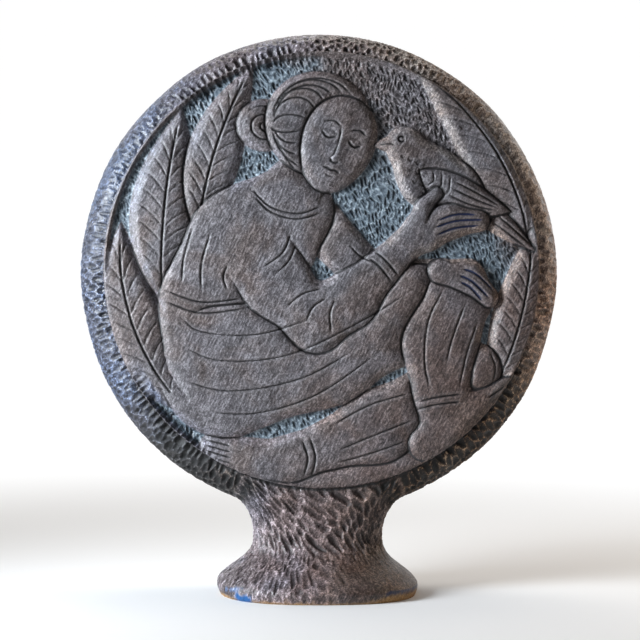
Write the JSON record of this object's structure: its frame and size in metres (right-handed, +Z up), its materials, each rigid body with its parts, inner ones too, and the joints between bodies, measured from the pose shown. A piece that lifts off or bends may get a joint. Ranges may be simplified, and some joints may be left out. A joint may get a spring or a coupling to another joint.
{
  "type": "ceramic relief",
  "caption": "Round stoneware disc on a flared foot, its face carved in low relief with a seated figure and a bird among leaves, the rim gouged all round.",
  "frame": {"origin": "middle of the foot's underside, on the surface that the relief stands on", "axes": "+Z up along the disc's height, -Y out of the carved face towards the viewer, +X to the viewer's right"},
  "size_m": [0.2998, 0.108, 0.35],
  "materials": {
    "stoneware": "satin glaze on dark clay"
  },
  "bodies": {
    "root": {"relief_disc": "stoneware"}
  },
  "joints": []
}
